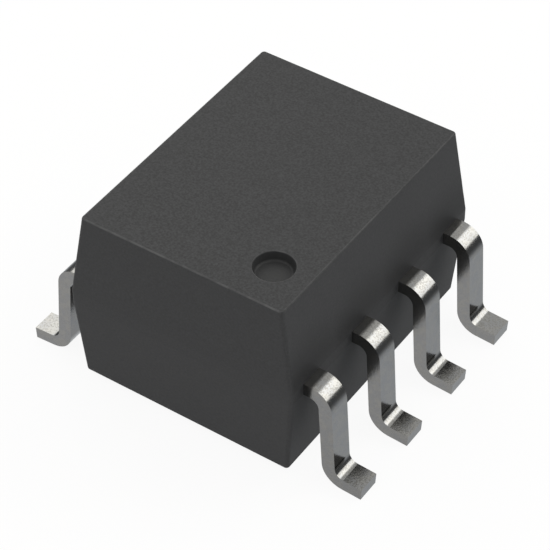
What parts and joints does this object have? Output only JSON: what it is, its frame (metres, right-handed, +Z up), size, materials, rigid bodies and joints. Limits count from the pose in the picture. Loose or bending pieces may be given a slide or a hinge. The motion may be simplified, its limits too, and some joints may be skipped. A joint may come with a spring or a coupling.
{
  "type": "soic chip",
  "caption": "Tall black small-outline chip package with gull-wing leads along both long sides and a round pin 1 dimple in its top face.",
  "frame": {"origin": "centre of the footprint on the board's surface, under the middle of the body, level with the lowest edge of the feet", "axes": "+Z up off the board, +X towards the row of leads that starts with pin 1, -Y towards the short end that pin 1 and the dimple are nearest to"},
  "size_m": [0.006, 0.0048, 0.0033],
  "materials": {
    "resin": "matte black filled epoxy with a fine grain",
    "tin_plated_copper": "satin tin plate over copper alloy",
    "gold": "bright gold wire",
    "emitter_crystal": "sawn semiconductor crystal",
    "silicon": "polished silicon",
    "silver_filled_epoxy": "cured silver-filled adhesive",
    "clear_silicone": "clear soft silicone"
  },
  "bodies": {
    "root": {"moulded_body": "resin", "lead_1": "tin_plated_copper", "lead_2": "tin_plated_copper", "lead_3": "tin_plated_copper", "lead_4": "tin_plated_copper", "lead_5": "tin_plated_copper", "lead_6": "tin_plated_copper", "lead_7": "tin_plated_copper", "lead_8": "tin_plated_copper", "bond_wire_2": "gold", "bond_wire_6": "gold", "bond_wire_7": "gold", "bond_wire_8": "gold", "ground_wire": "gold", "emitter_die": "emitter_crystal", "detector_die": "silicon", "emitter_die_attach": "silver_filled_epoxy", "detector_die_attach": "silver_filled_epoxy", "light_guide": "clear_silicone"}
  },
  "joints": []
}
